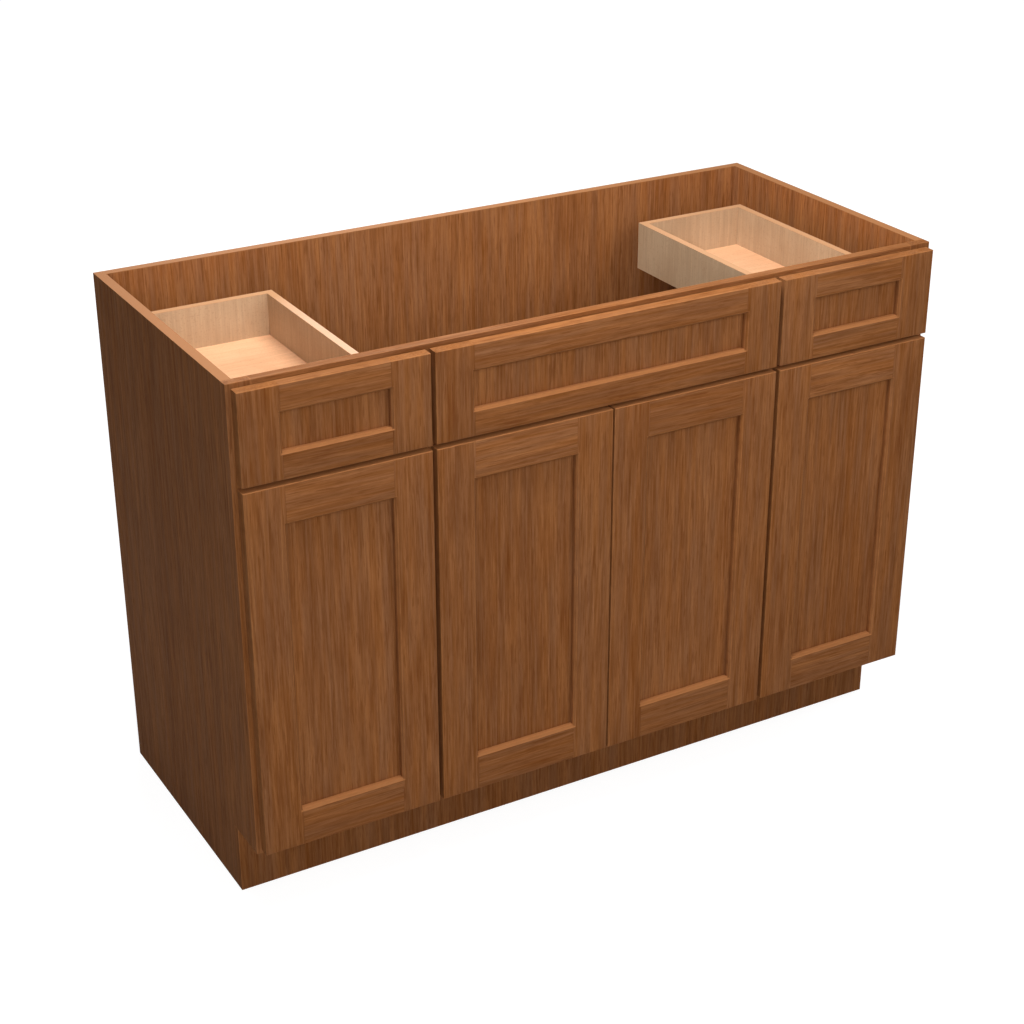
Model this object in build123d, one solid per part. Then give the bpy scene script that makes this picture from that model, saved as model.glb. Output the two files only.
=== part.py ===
"""Sink base cabinet: a face-framed box with an open top, two working drawers, a fixed
false front between them and four full-overlay doors on concealed hinges.

Millimetres. Origin at the middle of the floor rectangle that the whole cabinet covers.
X runs along the front, the front faces -Y, Z is up. Every piece is cut from the values
below, and each neighbour is cut by the piece that it holds.
"""
from build123d import *
from math import atan2, degrees, hypot
import os

# ---------------------------------------------------------------- driving dimensions
# carcass
cabinet_width = 1219.2
cabinet_height = 876.3
carcass_depth = 530.2            # wall face to front of the face frame
side_thickness = 15.9
back_thickness = 15.9
bottom_thickness = 15.9
dado_depth = 6.0                 # how far the bottom and the back are let into the sides
toe_height = 114.3
toe_recess = 74.8                # front of the face frame to front of the toe board
toe_board_thickness = 12.7
support_thickness = 15.9

# face frame
frame_thickness = 15.9
outer_stile_width = 38.1
top_rail_height = 38.1
bottom_rail_height = 38.1
mid_rail_height = 38.1
drawer_opening_height = 101.6

# fronts
front_thickness = 19.05
front_standoff = 1.2             # air between the face frame and the closed fronts
side_reveal = 7.6                # frame left showing beside the outermost fronts
top_reveal = 7.1
bottom_reveal = 7.0
side_front_width = 294.0
drawer_front_height = 141.6
column_gap = 7.2                 # between one bay's front and the next
row_gap = 8.1                    # between a drawer front and the door below it
door_pair_gap = 3.2
front_stile_width = 62.7
door_rail_height = 61.5
drawer_rail_height = 41.4
panel_recess = 11.1              # front face of a front to its flat panel
front_panel_thickness = 5.2
inner_bevel = 3.4
outer_ease = 1.2
panel_tongue = 5.0               # how far a flat panel runs into its groove
groove_slack = 0.5

# drawer boxes
drawer_side_clearance = 8.55     # edge of the opening to the side of the box
drawer_back_clearance = 62.3     # back of the box to the back panel
drawer_height = 82.55
drawer_wall = 12.7
corner_lap = 6.35
floor_thickness = 6.35
floor_lift = 7.1                 # lower edge of the box to the underside of its floor
floor_groove = 6.35

# centre track under each drawer
running_gap = 0.3
track_web = 16.0
track_lip = 6.0
track_height = 6.0
track_gauge = 1.2
track_end_slack = 0.5
guide_wall = 4.0
guide_depth = 14.0
guide_upstand = 28.0
guide_lip = 2.6
bracket_width = 38.0
bracket_plate = 4.0
bracket_ledge = 14.0
bracket_height = 36.0
corner_guide_base = 6.55         # lifts the drawer sides off the mid rail
corner_guide_seat = 10.0
corner_guide_upstand = 22.0

# concealed hinges
hinge_end_distance = 88.9        # door end to hinge centre
cup_mouth_inset = 8.3            # how far the cup's mouth reaches past the opening's edge
cup_radius = 17.5
cup_depth = 11.5
cup_wall = 1.2
cup_floor = 0.7
cup_ear_width = 14.0
cup_ear_reach = 29.0
cup_ear_start = 12.0
cup_ear_thickness = 0.7
cup_screw_reach = 23.5
cup_screw_length = 14.0
arm_pin_inset = 6.5              # hinge pin, in from the edge of the frame opening
arm_pin_depth = 3.0              # and back from the front of the frame
arm_elbow_inset = 4.0
arm_elbow_floor_gap = 2.2        # between the arm's elbow and the floor of the cup
arm_tip_floor_gap = 1.0
arm_tip_side_gap = 0.9
arm_gauge = 2.0
arm_height = 9.0
arm_barrel_radius = 2.4
arm_tip_radius = 1.4
pin_radius = 1.2
pin_clearance = 0.06
plate_gauge = 2.2
plate_height = 44.0
plate_front_inset = 1.5
plate_back_inset = 1.9
plate_ear_depth = 5.4
plate_ear_front = 0.6
plate_ear_reach = 9.2
plate_ear_gauge = 2.0
plate_screw_reach = 15.0
plate_screw_length = 16.0

# small fixings
bumper_radius = 4.5
bumper_inset = 12.0
screw_radius = 1.5
screw_head_radius = 3.0
screw_head_depth = 1.6
front_screw_length = 24.0
front_screw_inset = 3.1          # inner face of a drawer side to its front screws
front_screw_rise = 20.0
track_screw_length = 14.0
bracket_screw_length = 14.0
guide_screw_length = 18.0
guide_screw_rise = 18.0
guide_screw_spread = 18.0
cleat_width = 28.0
cleat_thickness = 12.7
cleat_lap = 12.0
cleat_inset = 3.0
cleat_screw_bite = 12.0
cleat_screw_rise = 22.0

# ------------------------------------------------------------------- derived places
half_width = cabinet_width / 2
front_overlay = outer_stile_width - side_reveal
back_face = (carcass_depth + front_standoff + front_thickness) / 2
frame_front = back_face - carcass_depth
frame_back = frame_front + frame_thickness
front_rear = frame_front - front_standoff
front_face = front_rear - front_thickness
back_inner = back_face - back_thickness
frame_y = (frame_front, frame_back)

frame_bottom = toe_height
bottom_top = frame_bottom + bottom_rail_height
drawer_opening_top = cabinet_height - top_rail_height
mid_rail_top = drawer_opening_top - drawer_opening_height
mid_rail_bottom = mid_rail_top - mid_rail_height

drawer_front_z = (cabinet_height - top_reveal - drawer_front_height, cabinet_height - top_reveal)
door_z = (frame_bottom + bottom_reveal, drawer_front_z[0] - row_gap)
left_front_x = (-half_width + side_reveal, -half_width + side_reveal + side_front_width)
centre_front_x = (left_front_x[1] + column_gap, -left_front_x[1] - column_gap)
left_opening_x = (-half_width + outer_stile_width, left_front_x[1] - front_overlay)
left_mullion_x = (left_opening_x[1], centre_front_x[0] + front_overlay)
centre_opening_x = (left_mullion_x[1], -left_mullion_x[1])

drawer_bottom = mid_rail_top + corner_guide_base + running_gap
drawer_centre = sum(left_opening_x) / 2
drawer_width = left_opening_x[1] - left_opening_x[0] - 2 * drawer_side_clearance
drawer_y = (front_rear, back_inner - drawer_back_clearance)
track_z = (mid_rail_top, mid_rail_top + track_height)
track_half = track_web / 2 + track_lip
track_y = (frame_front + track_end_slack, back_inner - bracket_plate - track_end_slack)
hinge_heights = (door_z[0] + hinge_end_distance, door_z[1] - hinge_end_distance)

cavity_radius = cup_radius - cup_wall
cavity_depth = cup_depth - cup_floor
cup_centre = cup_mouth_inset - cavity_radius

parts = {}


# -------------------------------------------------------------------------- helpers
def slab(x, y, z):
    """A board between low and high values along each axis."""
    size = Box(x[1] - x[0], y[1] - y[0], z[1] - z[0])
    return Pos(sum(x) / 2, sum(y) / 2, sum(z) / 2) * size


def grow(span, margin):
    """A span made longer by a margin at both ends."""
    return (span[0] - margin, span[1] + margin)


def mirrored(span):
    """The same span on the other side of the cabinet's middle."""
    return (-span[1], -span[0])


def about(middle, half):
    """A span that reaches the same distance both ways."""
    return (middle - half, middle + half)


def across(shape):
    """The same shape on the other side of the cabinet's middle."""
    return mirror(shape, about=Plane.YZ)


def screw(place, direction, length):
    """A flat-head screw: its head's flat at the place, its point along the direction."""
    head = Pos(0, 0, screw_head_depth / 2) * Cone(screw_head_radius, screw_radius, screw_head_depth)
    shank = Pos(0, 0, length / 2) * Cylinder(screw_radius, length)
    return Plane(origin=place, z_dir=direction) * (head + shank)


def cut(shape, tools):
    """A shape with every tool taken out of it."""
    for tool in tools:
        shape = shape - tool
    return shape


def keep(node, *shapes):
    """Adds every solid of the shapes to a node."""
    for shape in shapes:
        parts.setdefault(node, []).extend(shape.solids())


# ------------------------------------------------------------------ five-piece fronts
def framed_front(x, z, rail_height):
    """Two stiles, two rails and the flat panel of a front that covers x and z."""
    y = (front_face, front_rear)
    sight_x = grow(x, -front_stile_width)
    sight_z = grow(z, -rail_height)
    panel_y = (front_face + panel_recess, front_face + panel_recess + front_panel_thickness)
    groove_depth = panel_tongue + groove_slack

    blank = slab(x, y, z)
    rim = blank.faces().sort_by(Axis.Y)[0].edges()
    blank = chamfer(rim, outer_ease)
    frame = blank - slab(sight_x, y, sight_z)
    sight_edges = [
        edge
        for edge in frame.faces().sort_by(Axis.Y)[0].edges()
        if x[0] + outer_ease < edge.center().X - inner_bevel
        and edge.center().X + inner_bevel < x[1] - outer_ease
        and z[0] + outer_ease < edge.center().Z - inner_bevel
        and edge.center().Z + inner_bevel < z[1] - outer_ease
    ]
    frame = chamfer(sight_edges, inner_bevel)
    frame -= slab(grow(sight_x, groove_depth), panel_y, grow(sight_z, groove_depth))
    panel = slab(grow(sight_x, panel_tongue), panel_y, grow(sight_z, panel_tongue))

    rail_span_z = ((z[0], sight_z[0]), (sight_z[1], z[1]))
    tenon_z = ((z[0], sight_z[0] - groove_depth), (sight_z[1] + groove_depth, z[1]))
    tenon_x = grow(sight_x, panel_tongue)
    tenons = [slab(tenon_x, panel_y, grow(span, -outer_ease)) for span in tenon_z]
    rails = [
        (frame & slab(sight_x, y, span)) + tenon
        for span, tenon in zip(rail_span_z, tenons)
    ]
    stiles = [
        cut(frame & slab(span, y, z), tenons)
        for span in ((x[0], sight_x[0]), (sight_x[1], x[1]))
    ]
    return stiles, rails, panel


# ------------------------------------------------------------------------- hinges
def strap(start, end):
    """A flat steel link that stands on edge between two points of the plan."""
    length = hypot(end[0] - start[0], end[1] - start[1])
    turn = degrees(atan2(end[1] - start[1], end[0] - start[0]))
    middle = ((start[0] + end[0]) / 2, (start[1] + end[1]) / 2)
    return Pos(*middle, 0) * Rot(0, 0, turn) * Box(length, arm_gauge, arm_height)


def upright(point, radius, height):
    """A round bar on a vertical axis through a point of the plan."""
    return Pos(*point, 0) * Cylinder(radius, height)


def hinge_cup():
    """The cup let into the door, with its two screw ears, and its screws."""
    rear = -front_standoff
    into_door = Plane(origin=(cup_centre, rear, 0), z_dir=(0, -1, 0))
    seat = into_door * Pos(0, 0, cup_depth / 2) * Cylinder(cup_radius, cup_depth)
    cavity = into_door * Pos(0, 0, cavity_depth / 2) * Cylinder(cavity_radius, cavity_depth)
    mouth = into_door * Cylinder(cavity_radius, 2 * cup_ear_thickness)
    ear_z = (cup_ear_start, cup_ear_reach)
    ears = [
        slab(about(cup_centre, cup_ear_width / 2), (rear, rear + cup_ear_thickness), span)
        for span in (ear_z, mirrored(ear_z))
    ]
    screws = [
        screw((cup_centre, rear + cup_ear_thickness, height), (0, -1, 0), cup_screw_length)
        for height in (-cup_screw_reach, cup_screw_reach)
    ]
    cup = cut(seat + ears[0] + ears[1], [cavity, mouth, *screws])
    return cup, screws, [seat, *screws]


def hinge_plate():
    """The plate screwed to the edge of the frame opening, its pin and its screws."""
    pin_place = (arm_pin_inset, arm_pin_depth)
    plate_y = (plate_front_inset, frame_thickness - plate_back_inset)
    plate = slab((0, plate_gauge), plate_y, about(0, plate_height / 2))
    ear_y = (plate_ear_front, plate_ear_front + plate_ear_depth)
    ear_start = arm_height / 2 + running_gap
    ear_z = (ear_start, ear_start + plate_ear_gauge)
    for span in (ear_z, mirrored(ear_z)):
        plate += slab((0, plate_ear_reach), ear_y, span)
    pin = upright(pin_place, pin_radius, 2 * ear_z[1])
    screws = [
        screw((plate_gauge, sum(plate_y) / 2, height), (-1, 0, 0), plate_screw_length)
        for height in (-plate_screw_reach, plate_screw_reach)
    ]
    return cut(plate, [pin, *screws]), pin, screws


def hinge_arm():
    """The bent arm that turns on the plate's pin and reaches into the cup."""
    pin_place = (arm_pin_inset, arm_pin_depth)
    cup_bed = -front_standoff - cavity_depth
    elbow = (arm_elbow_inset, cup_bed + arm_elbow_floor_gap + arm_gauge / 2)
    tip_x = cup_centre - cavity_radius + arm_tip_side_gap + arm_tip_radius
    tip = (tip_x, cup_bed + arm_tip_floor_gap + arm_tip_radius)
    arm = strap(pin_place, elbow) + strap(elbow, tip)
    arm += upright(elbow, arm_gauge / 2, arm_height)
    arm += upright(tip, arm_tip_radius, arm_height)
    arm += upright(pin_place, arm_barrel_radius, arm_height)
    return arm - upright(pin_place, pin_radius + pin_clearance, arm_height)


def hung(shape, edge_x, side, height):
    """A hinge piece at the edge of a frame opening that lies on one side of edge_x."""
    handed = shape if side > 0 else across(shape)
    return Pos(edge_x, frame_front, height) * handed


# -------------------------------------------------------------------------- carcass
def carcass():
    """Sides, bottom, back, toe board and the support under the bottom."""
    side_y = (frame_back, back_face)
    inner = half_width - side_thickness
    bottom_z = (bottom_top - bottom_thickness, bottom_top)
    bottom = slab(about(0, inner + dado_depth), (frame_back, back_inner), bottom_z)
    back = slab(about(0, inner + dado_depth), (back_inner, back_face), (toe_height, cabinet_height))
    toe_y = about(frame_front + toe_recess + toe_board_thickness / 2, toe_board_thickness / 2)
    toe_board = slab(about(0, half_width), toe_y, (0, toe_height))
    notch = slab((-half_width, -inner), (frame_back, toe_y[1]), (0, toe_height))
    left_side = slab((-half_width, -inner), side_y, (0, cabinet_height))
    left_side = cut(left_side, [notch, bottom, back])
    support_y = (toe_y[1], back_face)
    support = slab(about(0, support_thickness / 2), support_y, (0, bottom_z[0]))
    support -= back
    keep("side_panel_left", left_side)
    keep("side_panel_right", across(left_side))
    keep("bottom_panel", bottom)
    keep("toe_kick_board", toe_board)
    keep("bottom_support", support)
    return back


def face_frame():
    """Stiles, mullions and rails, butted edge to edge."""
    full_z = (frame_bottom, cabinet_height)
    outer_x = (-half_width, left_opening_x[0])
    inner_z = (bottom_top, drawer_opening_top)
    rail_x = about(0, -left_opening_x[0])
    mid_z = (mid_rail_bottom, mid_rail_top)
    left_stile = slab(outer_x, frame_y, full_z)
    left_mullion = slab(left_mullion_x, frame_y, inner_z)
    return {
        "frame_stile_left": left_stile,
        "frame_stile_right": across(left_stile),
        "frame_mullion_left": left_mullion,
        "frame_mullion_right": across(left_mullion),
        "frame_top_rail": slab(rail_x, frame_y, (drawer_opening_top, cabinet_height)),
        "frame_bottom_rail": slab(rail_x, frame_y, (frame_bottom, bottom_top)),
        "frame_mid_rail_left": slab(left_opening_x, frame_y, mid_z),
        "frame_mid_rail_centre": slab(centre_opening_x, frame_y, mid_z),
        "frame_mid_rail_right": slab(mirrored(left_opening_x), frame_y, mid_z),
    }


# ---------------------------------------------------------------------------- doors
def door(name, x, side):
    """A door hung at its outer edge; side is +1 where its opening lies to the right."""
    stiles, rails, panel = framed_front(x, door_z, door_rail_height)
    hinge_edge = x[0] if side > 0 else x[1]
    edge_x = hinge_edge + side * front_overlay
    hung_stile = 0 if side > 0 else 1
    frame_tools = []
    for height in hinge_heights:
        cup, cup_screws, cup_tools = hinge_cup()
        plate, pin, plate_screws = hinge_plate()
        place = (edge_x, side, height)
        stiles[hung_stile] = cut(stiles[hung_stile], [hung(tool, *place) for tool in cup_tools])
        keep(f"hinge_cups_{name}", hung(cup, *place))
        keep(f"hinge_cups_{name}", *[hung(one, *place) for one in cup_screws])
        keep(f"hinge_arms_{name}", hung(hinge_arm(), *place))
        keep("hinge_plates", hung(plate, *place))
        keep("hinge_pins", hung(pin, *place))
        plate_screws = [hung(one, *place) for one in plate_screws]
        keep("carcass_screws", *plate_screws)
        frame_tools.extend(plate_screws)
    keep(f"door_{name}_stiles", *stiles)
    keep(f"door_{name}_rails", *rails)
    keep(f"door_{name}_panel", panel)
    return frame_tools


# -------------------------------------------------------------------------- drawers
def drawer_box(centre):
    """Sides and ends lapped at the corners round a floor held in a groove."""
    x = about(centre, drawer_width / 2)
    z = (drawer_bottom, drawer_bottom + drawer_height)
    floor_z = (z[0] + floor_lift, z[0] + floor_lift + floor_thickness)
    floor_edge = drawer_wall - floor_groove
    floor = slab(grow(x, -floor_edge), grow(drawer_y, -floor_edge), floor_z)
    end_x = grow(x, corner_lap - drawer_wall)
    front_y = (drawer_y[0], drawer_y[0] + drawer_wall)
    back_y = (drawer_y[1] - drawer_wall, drawer_y[1])
    ends = [slab(end_x, span, z) for span in (front_y, back_y)]
    side_spans = ((x[0], x[0] + drawer_wall), (x[1] - drawer_wall, x[1]))
    sides = [cut(slab(span, drawer_y, z), [*ends, floor]) for span in side_spans]
    ends = [end - floor for end in ends]
    return sides, ends, floor


def rear_guide(centre):
    """The moulded shoe on the drawer's back that wraps round the track."""
    y = (drawer_y[1], drawer_y[1] + guide_depth)
    void_x = about(centre, track_half + running_gap)
    void_z = grow(track_z, running_gap)
    body_z = (void_z[0] - guide_lip, drawer_bottom + guide_upstand)
    body = slab(grow(void_x, guide_wall), y, body_z)
    body -= slab(void_x, y, void_z)
    body -= slab(about(centre, track_web / 2), y, (body_z[0], void_z[0]))
    screws = [
        screw((place, y[1], drawer_bottom + guide_screw_rise), (0, -1, 0), guide_screw_length)
        for place in about(centre, guide_screw_spread / 2)
    ]
    return cut(body, screws), screws


def drawer(name, centre, front_x):
    """A drawer box with its five-piece front, screws and rear guide."""
    stiles, rails, panel = framed_front(front_x, drawer_front_z, drawer_rail_height)
    sides, ends, floor = drawer_box(centre)
    guide, guide_screws = rear_guide(centre)
    inner_x = grow(about(centre, drawer_width / 2), -drawer_wall - front_screw_inset)
    inner_face = drawer_y[0] + drawer_wall
    middle_z = drawer_bottom + drawer_height / 2
    front_screws = [
        screw((place, inner_face, height), (0, -1, 0), front_screw_length)
        for place in inner_x
        for height in about(middle_z, front_screw_rise)
    ]
    stiles = [cut(stile, front_screws) for stile in stiles]
    rails = [cut(rail, front_screws) for rail in rails]
    panel = cut(panel, front_screws)
    ends = [cut(end, [*front_screws, *guide_screws]) for end in ends]
    keep(f"drawer_{name}_front_stiles", *stiles)
    keep(f"drawer_{name}_front_rails", *rails)
    keep(f"drawer_{name}_front_panel", panel)
    keep(f"drawer_{name}_box", *sides, *ends)
    keep(f"drawer_{name}_floor", floor)
    keep(f"drawer_{name}_rear_guide", guide)
    keep(f"drawer_{name}_screws", *front_screws, *guide_screws)


def track(centre):
    """A hat-section steel track from the mid rail to the bracket on the back."""
    web_x = about(centre, track_web / 2)
    low_z = (track_z[0], track_z[0] + track_gauge)
    channel = slab(web_x, track_y, track_z)
    channel -= slab(grow(web_x, -track_gauge), track_y, (track_z[0], track_z[1] - track_gauge))
    channel += slab((centre - track_half, web_x[0]), track_y, low_z)
    channel += slab((web_x[1], centre + track_half), track_y, low_z)
    lip_middle = track_half - track_lip / 2
    screws = [
        screw((place, sum(frame_y) / 2, low_z[1]), (0, 0, -1), track_screw_length)
        for place in about(centre, lip_middle)
    ]
    return cut(channel, screws), screws


def track_bracket(centre):
    """A moulded socket on the back panel that carries the track's rear end."""
    x = about(centre, bracket_width / 2)
    plate_y = (back_inner - bracket_plate, back_inner)
    ledge_y = (plate_y[0] - bracket_ledge, plate_y[0])
    plate_z = about(sum(track_z) / 2, bracket_height / 2)
    bracket = slab(x, plate_y, plate_z)
    bracket += slab(x, ledge_y, (track_z[0] - bracket_plate, track_z[0]))
    cheek_inner = track_half + running_gap
    for span in ((x[0], centre - cheek_inner), (centre + cheek_inner, x[1])):
        bracket += slab(span, ledge_y, (track_z[0], track_z[1]))
    spread = (bracket_height + track_height) / 4
    screws = [
        screw((centre, plate_y[0], height), (0, 1, 0), bracket_screw_length)
        for height in about(sum(track_z) / 2, spread)
    ]
    return cut(bracket, screws), screws


def corner_guides(opening_x, centre):
    """Two L-shaped guides that carry and steer the drawer's sides."""
    base_z = (mid_rail_top, mid_rail_top + corner_guide_base)
    upright_z = (base_z[1], base_z[1] + corner_guide_upstand)
    side_x = centre - drawer_width / 2
    base = slab((opening_x[0], side_x + corner_guide_seat), frame_y, base_z)
    upright_part = slab((opening_x[0], side_x - running_gap), frame_y, upright_z)
    guide = base + upright_part
    return [guide, Pos(2 * centre, 0, 0) * across(guide)]


# ---------------------------------------------------------------------- false front
def false_front():
    """The fixed front before the sink, and the two cleats that hold it."""
    stiles, rails, panel = framed_front(centre_front_x, drawer_front_z, drawer_rail_height)
    cleat_x = (centre_opening_x[0] + cleat_inset, centre_opening_x[0] + cleat_inset + cleat_width)
    cleat_z = (mid_rail_top - cleat_lap, drawer_opening_top + cleat_lap)
    cleat_y = (frame_back, frame_back + cleat_thickness)
    screw_length = cleat_y[1] - front_rear + cleat_screw_bite
    middle = (drawer_opening_top + mid_rail_top) / 2
    cleat = slab(cleat_x, cleat_y, cleat_z)
    screws = [
        screw((sum(cleat_x) / 2, cleat_y[1], height), (0, -1, 0), screw_length)
        for height in about(middle, cleat_screw_rise)
    ]
    cleat = cut(cleat, screws)
    all_screws = [*screws, *[across(one) for one in screws]]
    keep("false_front_stiles", *[cut(stile, all_screws) for stile in stiles])
    keep("false_front_rails", *rails)
    keep("false_front_panel", panel)
    keep("false_front_cleats", cleat, across(cleat))
    keep("carcass_screws", *all_screws)


def bumper(x, z, thickness):
    """A soft disc stuck to the face frame behind a front."""
    seat = Plane(origin=(x, frame_front, z), z_dir=(0, -1, 0))
    return seat * Pos(0, 0, thickness / 2) * Cylinder(bumper_radius, thickness)


def bumpers():
    """Discs behind the corners of each front, clear of the ones that move."""
    soft = front_standoff - running_gap
    right_front_x = mirrored(left_front_x)
    free_edges = (left_front_x[1] - bumper_inset, -door_pair_gap / 2 - bumper_inset)
    for x in free_edges:
        for z in grow(door_z, -bumper_inset):
            keep("bumpers", bumper(x, z, soft), bumper(-x, z, soft))
    for z in grow(drawer_front_z, -bumper_inset):
        for span in (left_front_x, right_front_x):
            keep("bumpers", *[bumper(x, z, soft) for x in grow(span, -bumper_inset)])
        for x in grow(centre_front_x, -bumper_inset):
            keep("bumpers", bumper(x, z, front_standoff))


# ------------------------------------------------------------------------- assembly
def cabinet():
    """Builds every piece into its node."""
    back = carcass()
    frame = face_frame()
    pair_edge = door_pair_gap / 2
    doors = {
        "left": (left_front_x, 1),
        "centre_left": ((centre_front_x[0], -pair_edge), 1),
        "centre_right": ((pair_edge, centre_front_x[1]), -1),
        "right": (mirrored(left_front_x), -1),
    }
    frame_tools = []
    for name, (x, side) in doors.items():
        frame_tools.extend(door(name, x, side))

    back_tools = []
    bays = {"left": (drawer_centre, left_front_x, left_opening_x)}
    bays["right"] = (-drawer_centre, mirrored(left_front_x), mirrored(left_opening_x))
    for name, (centre, front_x, opening_x) in bays.items():
        drawer(name, centre, front_x)
        rail, rail_screws = track(centre)
        bracket, bracket_screws = track_bracket(centre)
        keep("drawer_tracks", rail)
        keep("track_brackets", bracket)
        keep("drawer_corner_guides", *corner_guides(opening_x, centre))
        keep("carcass_screws", *rail_screws, *bracket_screws)
        frame_tools.extend(rail_screws)
        back_tools.extend(bracket_screws)

    keep("back_panel", cut(back, back_tools))
    for name, piece in frame.items():
        keep(name, cut(piece, frame_tools))
    false_front()
    bumpers()


cabinet()
os.makedirs("parts", exist_ok=True)
for node, solids in parts.items():
    shape = solids[0] if len(solids) == 1 else Compound(children=solids)
    export_step(shape, f"parts/{node}.step")
print(len(parts), "nodes,", sum(len(solids) for solids in parts.values()), "solids")
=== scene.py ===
# %% [markdown]
# # A sink base cabinet
# The cabinet comes into Blender as a fixed frame: every board, hinge and screw is already in
# its place, in metres, with its own object. This file gives the boards their finish and adds
# the fine shapes that a maker's eye looks for. Everything is measured from that frame, so
# nothing here has to be fitted by hand.

# %% Load the frame
from functools import partial, reduce
from math import pi, radians

import bmesh
import bpy
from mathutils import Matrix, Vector


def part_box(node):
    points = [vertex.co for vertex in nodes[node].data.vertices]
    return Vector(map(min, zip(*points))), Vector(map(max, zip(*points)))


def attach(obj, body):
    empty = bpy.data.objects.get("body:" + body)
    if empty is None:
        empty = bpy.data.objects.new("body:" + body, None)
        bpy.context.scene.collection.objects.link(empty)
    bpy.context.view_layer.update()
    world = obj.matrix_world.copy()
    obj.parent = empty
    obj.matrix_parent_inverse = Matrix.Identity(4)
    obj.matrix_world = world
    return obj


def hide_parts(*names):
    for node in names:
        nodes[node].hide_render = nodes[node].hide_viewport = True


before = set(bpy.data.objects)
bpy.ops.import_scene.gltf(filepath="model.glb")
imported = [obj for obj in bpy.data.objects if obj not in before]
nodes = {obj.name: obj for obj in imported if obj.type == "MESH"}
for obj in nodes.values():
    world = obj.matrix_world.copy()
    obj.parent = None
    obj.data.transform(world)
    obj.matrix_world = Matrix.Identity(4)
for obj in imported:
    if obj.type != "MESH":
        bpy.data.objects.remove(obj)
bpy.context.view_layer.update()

# %% [markdown]
# The camera stands to the left of the cabinet, above it and well back, with a long lens. A
# short lens from nearby would show the same faces, but its lines would run together much
# faster towards the far corner. The place and the turn were found by matching the cabinet's
# corners, so the perspective agrees with the real view along every edge.

# %% Camera
camera_place = (-1.50441, -2.60017, 1.88611)
camera_turn = (64.1809, 0.1172, -29.7650)
focal_length = 70.125
sensor_width = 36.0
view_range = (0.05, 100.0)


def in_scene(name, data):
    """A new object in the scene."""
    thing = bpy.data.objects.new(name, data)
    bpy.context.scene.collection.objects.link(thing)
    return thing


def make_camera():
    """A long-lens camera at the cabinet's front left."""
    lens = bpy.data.cameras.new("studio_camera")
    lens.lens, lens.sensor_width = focal_length, sensor_width
    lens.clip_start, lens.clip_end = view_range
    camera = in_scene("studio_camera", lens)
    camera.location = camera_place
    camera.rotation_euler = [radians(angle) for angle in camera_turn]
    bpy.context.scene.camera = camera


make_camera()
bpy.context.scene.view_settings.view_transform = "Standard"
print("camera", camera_place, "lens", focal_length, "mm")

# %% [markdown]
# Materials and shapes are both built from nodes here. Writing every link out in full would
# hide the idea behind plumbing. So a node's output is wrapped as a value that can be added,
# multiplied and compared, and each such sum quietly adds the node that does it. A few short
# helpers add other nodes, fill their inputs with numbers or links, and make groups.

# %% Node helpers
def method(operation, swapped=False):
    """What a sign such as + or < does between a value and a value or number."""
    if swapped:
        return lambda self, other: calc(operation, other, self)
    return lambda self, *other: calc(operation, self, *other)


class Value:
    """A node's output that takes part in sums as a number does."""

    def __init__(self, tree, socket):
        self.tree, self.socket = tree, socket

    __add__ = __radd__ = method("ADD")
    __mul__ = __rmul__ = method("MULTIPLY")
    __sub__, __rsub__ = method("SUBTRACT"), method("SUBTRACT", swapped=True)
    __truediv__, __abs__ = method("DIVIDE"), method("ABSOLUTE")
    __lt__, __gt__ = method("LESS_THAN"), method("GREATER_THAN")


class Given:
    """The inputs of a node group, by name."""

    def __init__(self, tree):
        self.tree, self.node = tree, tree.nodes.new("NodeGroupInput")

    def __getitem__(self, name):
        return Value(self.tree, self.node.outputs[name])


def fill(node, inputs):
    """Sets a node's inputs to plain values, or links them to values from other nodes."""
    for name, value in inputs.items():
        if isinstance(value, Value):
            value.tree.links.new(value.socket, node.inputs[name])
        else:
            node.inputs[name].default_value = value


def add(tree, kind, inputs=None, **settings):
    """A node of one kind, with its settings and inputs."""
    node = tree.nodes.new(kind)
    for name, value in settings.items():
        setattr(node, name, value)
    fill(node, inputs or {})
    return node


def out(tree, kind, inputs=None, output=0, **settings):
    """One output of a new node."""
    return Value(tree, add(tree, kind, inputs, **settings).outputs[output])


def outputs(tree, kind, inputs, **settings):
    """All outputs of a new node."""
    return [Value(tree, socket) for socket in add(tree, kind, inputs, **settings).outputs]


def tree_of(values):
    """The node tree that some values belong to."""
    return next(value.tree for value in values if isinstance(value, Value))


def result_of(kind, operation, *values):
    """The result of one sum, by a node of one kind."""
    return out(tree_of(values), kind, dict(enumerate(values)), operation=operation)


calc = partial(result_of, "ShaderNodeMath")
vector_calc = partial(result_of, "ShaderNodeVectorMath")


def least(*values):
    """The smallest of some values."""
    return reduce(partial(calc, "MINIMUM"), values)


def most(*values):
    """The largest of some values."""
    return reduce(partial(calc, "MAXIMUM"), values)


def remap(value, start, end, low=0.0, high=1.0, **settings):
    """A value's place between a start and an end, as a number from low to high."""
    limits = {"Value": value, "From Min": start, "From Max": end, "To Min": low, "To Max": high}
    return out(value.tree, "ShaderNodeMapRange", limits, **settings)


def split(vector):
    """The X, Y and Z of a vector."""
    return outputs(vector.tree, "ShaderNodeSeparateXYZ", {0: vector})


def vector_of(*values):
    """A vector from its X, Y and Z."""
    return out(tree_of(values), "ShaderNodeCombineXYZ", dict(enumerate(values)))


def mix(factor, first, second, blend="MIX"):
    """One colour laid over another by a factor."""
    inputs = {0: factor, 6: first, 7: second}
    settings = {"data_type": "RGBA", "blend_type": blend}
    return out(tree_of(inputs.values()), "ShaderNodeMix", inputs, 2, **settings)


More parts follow.
